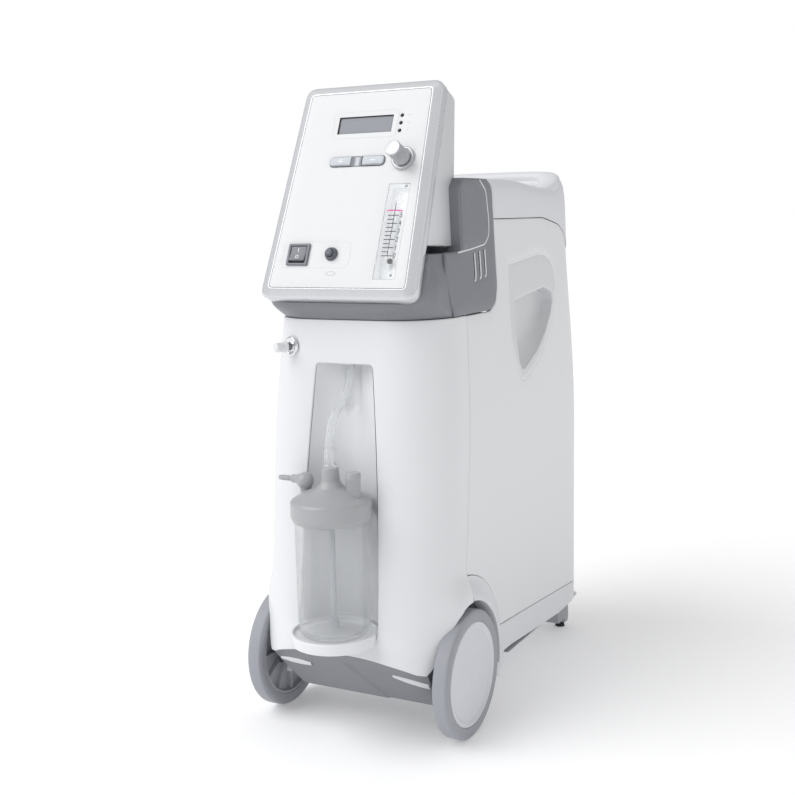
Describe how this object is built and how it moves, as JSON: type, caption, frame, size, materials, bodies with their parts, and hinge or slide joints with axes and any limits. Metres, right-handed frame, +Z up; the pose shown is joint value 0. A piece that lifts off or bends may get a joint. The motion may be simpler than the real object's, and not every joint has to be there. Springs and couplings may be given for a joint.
{
  "type": "oxygen concentrator",
  "caption": "Floor-standing oxygen concentrator with a leaning control console, a humidifier jar in a front niche, two front wheels and rear feet.",
  "frame": {"origin": "centre of the bounding box, on the floor", "axes": "+Z up, the front with the humidifier faces -Y, +X to the right of someone facing the console"},
  "size_m": [0.2474, 0.52, 0.7],
  "materials": {
    "casing_white": "fine satin moulded",
    "casing_grey": "fine speckled metallic paint on plastic",
    "frame_silver": "satin silver paint",
    "panel_white": "satin membrane",
    "display_grey": "tinted window",
    "light_black": "dark indicator lens",
    "key_silver": "silver lacquer",
    "knob_silver": "turned and satin",
    "meter_clear": "clear acrylic",
    "float_black": "polished ball",
    "switch_grey": "satin",
    "breaker_grey": "satin",
    "bright_metal": "polished",
    "dark_metal": "dark turned",
    "cap_pale": "smooth",
    "hose_clear": "clear soft tube",
    "lid_grey": "satin",
    "jar_clear": "clear moulded",
    "tube_pale": "smooth tube",
    "steel": "bright bar",
    "tyre_grey": "smooth solid tyre",
    "rim_grey": "moulded",
    "hubcap_pale": "smooth satin",
    "foot_grey": "moulded",
    "rubber_black": "plain",
    "chassis_steel": "galvanised sheet",
    "cast_grey": "cast",
    "canister": "drawn",
    "board_green": "circuit board",
    "filter_felt": "pleated felt",
    "fan_black": "moulded",
    "tank_white": "moulded"
  },
  "bodies": {
    "casing": {"front_casing": "casing_white", "left_side_casing": "casing_white", "right_side_casing": "casing_white", "rear_panel": "casing_white", "top_cover": "casing_white", "base_pan": "casing_white", "front_underside": "casing_grey", "console_cowl": "casing_grey", "left_cowl_cover": "casing_grey", "right_cowl_cover": "casing_grey", "console_housing": "casing_white", "console_frame": "frame_silver", "panel_plate": "panel_white", "display_window": "display_grey", "indicator_lights": "light_black", "key_saddle": "key_silver", "knob_collar": "knob_silver", "flowmeter_block": "meter_clear", "switch_bezel": "switch_grey", "breaker_body": "breaker_grey", "nebuliser_plate": "bright_metal", "nebuliser_nozzle": "dark_metal", "hose_nozzle": "casing_white", "humidifier_hose": "hose_clear", "jar_tray": "panel_white", "axle": "steel", "axle_carriers": "tank_white", "rear_feet": "foot_grey", "foot_pads": "rubber_black", "chassis_plate": "chassis_steel", "compressor": "cast_grey", "compressor_mounts": "rubber_black", "sieve_beds": "canister", "valve_block": "cast_grey", "product_tank": "tank_white", "power_inlet": "fan_black", "fan_frame": "fan_black", "circuit_board": "board_green", "intake_filter": "filter_felt"},
    "humidifier": {"humidifier_lid": "lid_grey", "humidifier_elbow": "lid_grey", "relief_cap": "lid_grey", "dip_tube": "tube_pale", "hose_connector": "jar_clear"},
    "jar": {"humidifier_jar": "jar_clear"},
    "left_wheel": {"left_tyre": "tyre_grey", "left_wheel_rim": "rim_grey", "left_hubcap": "hubcap_pale"},
    "right_wheel": {"right_tyre": "tyre_grey", "right_wheel_rim": "rim_grey", "right_hubcap": "hubcap_pale"},
    "knob": {"flow_knob": "knob_silver"},
    "float": {"flow_float": "float_black"},
    "rocker": {"power_rocker": "switch_grey"},
    "button": {"breaker_button": "breaker_grey"},
    "plus": {"plus_key": "key_silver"},
    "minus": {"minus_key": "key_silver"},
    "outlet_cap": {"nebuliser_cap": "cap_pale"},
    "filter_door": {"filter_cover": "casing_white"},
    "fan": {"fan_rotor": "fan_black"}
  },
  "joints": [
    {"name": "left_wheel_spin", "type": "hinge", "parent": "casing", "child": "left_wheel", "pos_m": [-0.1147, -0.131, 0.07], "axis": [1, 0, 0], "continuous": true},
    {"name": "right_wheel_spin", "type": "hinge", "parent": "casing", "child": "right_wheel", "pos_m": [0.1147, -0.131, 0.07], "axis": [1, 0, 0], "continuous": true},
    {"name": "knob_turn", "type": "hinge", "parent": "casing", "child": "knob", "pos_m": [0.0535, -0.14371, 0.62101], "axis": [0, -0.9178, 0.3971], "range_deg": [0, 720]},
    {"name": "float_rise", "type": "slide", "parent": "casing", "child": "float", "axis": [0, 0.3971, 0.9178], "range_m": [0, 0.056]},
    {"name": "rocker_swing", "type": "hinge", "parent": "casing", "child": "rocker", "pos_m": [-0.051, -0.17739, 0.52052], "axis": [1, 0, 0], "range_deg": [0, 18]},
    {"name": "breaker_press", "type": "slide", "parent": "casing", "child": "button", "axis": [0, 0.9178, -0.3971], "range_m": [0, 0.0025], "stiffness_N_per_m": 600},
    {"name": "plus_press", "type": "slide", "parent": "casing", "child": "plus", "axis": [0, 0.9178, -0.3971], "range_m": [0, 0.001], "stiffness_N_per_m": 800},
    {"name": "minus_press", "type": "slide", "parent": "casing", "child": "minus", "axis": [0, 0.9178, -0.3971], "range_m": [0, 0.001], "stiffness_N_per_m": 800},
    {"name": "humidifier_lift", "type": "slide", "parent": "casing", "child": "humidifier", "axis": [0, -0.6, 0.8], "range_m": [0, 0.05], "deforming": ["humidifier_hose"]},
    {"name": "jar_unscrew", "type": "hinge", "parent": "humidifier", "child": "jar", "pos_m": [0, -0.213, 0.25], "axis": [0, 0, 1], "range_deg": [0, 540]},
    {"name": "cap_pull", "type": "slide", "parent": "casing", "child": "outlet_cap", "axis": [-0.3584, -0.9336, 0], "range_m": [0, 0.04]},
    {"name": "filter_door_pull", "type": "slide", "parent": "casing", "child": "filter_door", "axis": [0, 1, 0], "range_m": [0, 0.06]},
    {"name": "fan_spin", "type": "hinge", "parent": "casing", "child": "fan", "pos_m": [0, 0.125, 0.24], "axis": [0, 0, 1], "continuous": true}
  ]
}
